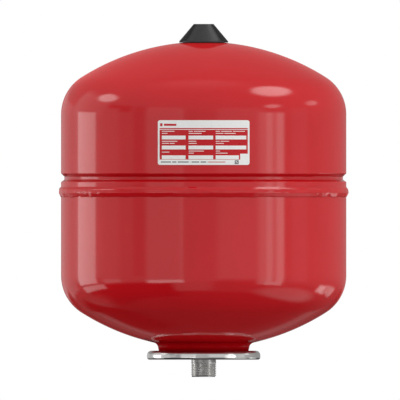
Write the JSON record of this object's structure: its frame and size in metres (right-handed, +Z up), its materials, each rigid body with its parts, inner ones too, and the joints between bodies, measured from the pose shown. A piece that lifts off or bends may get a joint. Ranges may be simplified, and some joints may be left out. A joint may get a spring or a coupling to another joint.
{
  "type": "expansion vessel",
  "caption": "Upright steel expansion vessel with a welded middle seam, a bladder inside, a covered gas valve on top and a threaded pipe nipple at the bottom.",
  "frame": {"origin": "centre of the nipple's lower end face, on the vessel's axis", "axes": "+Z up along the vessel's axis, from the pipe nipple to the gas valve; the label faces -Y"},
  "size_m": [0.305, 0.305, 0.3712],
  "materials": {
    "red_coat": "gloss powder coat",
    "galvanised_steel": "zinc plated pressed sheet",
    "turned_steel": "turned",
    "brass": "turned",
    "spring_steel": "drawn wire",
    "black_rubber": "moulded EPDM",
    "black_plastic": "fine-grained moulding",
    "label_foil": "printed polyester foil"
  },
  "bodies": {
    "vessel": {"upper_shell": "red_coat", "lower_shell": "red_coat", "seam_weld": "red_coat", "cover_flange": "galvanised_steel", "connection_nipple": "turned_steel", "nipple_weld": "turned_steel", "rating_label": "label_foil", "valve_socket": "turned_steel", "socket_weld": "turned_steel", "stem_gasket": "black_rubber", "valve_stem": "brass", "core_plug": "brass", "core_barrel": "brass", "core_gasket": "black_rubber", "core_spring": "spring_steel"},
    "bladder": {"bladder": "black_rubber"},
    "core_pin": {"core_pin": "brass", "core_cup": "brass", "core_seat_washer": "black_rubber"},
    "dust_cap_seal": {"dust_cap_seal": "black_rubber"},
    "dust_cap": {"dust_cap": "black_plastic"},
    "protective_cap": {"protective_cap": "black_plastic"}
  },
  "joints": [
    {"name": "protective_cap_lift", "type": "slide", "parent": "vessel", "child": "protective_cap", "axis": [0, 0, 1], "range_m": [0, 0.04]},
    {"name": "dust_cap_lift", "type": "slide", "parent": "vessel", "child": "dust_cap_seal", "axis": [0, 0, 1], "range_m": [0, 0.00397]},
    {"name": "dust_cap_turn", "type": "hinge", "parent": "dust_cap_seal", "child": "dust_cap", "pos_m": [0, 0, 0.35814], "axis": [0, 0, 1], "range_deg": [0, 1800]},
    {"name": "core_pin_press", "type": "slide", "parent": "vessel", "child": "core_pin", "axis": [0, 0, -1], "range_m": [0, 0.0015], "stiffness_N_per_m": 400, "springref_m": -0.004, "deforming": ["core_spring"]},
    {"name": "bladder_fill", "type": "slide", "parent": "vessel", "child": "bladder", "axis": [0, 0, 1], "range_m": [0, 0.08], "stiffness_N_per_m": 200, "deforming": ["bladder"]}
  ],
  "couplings": [
    {"joint": "dust_cap_turn", "follows": "dust_cap_lift", "rad_per_m": 7915.8}
  ]
}
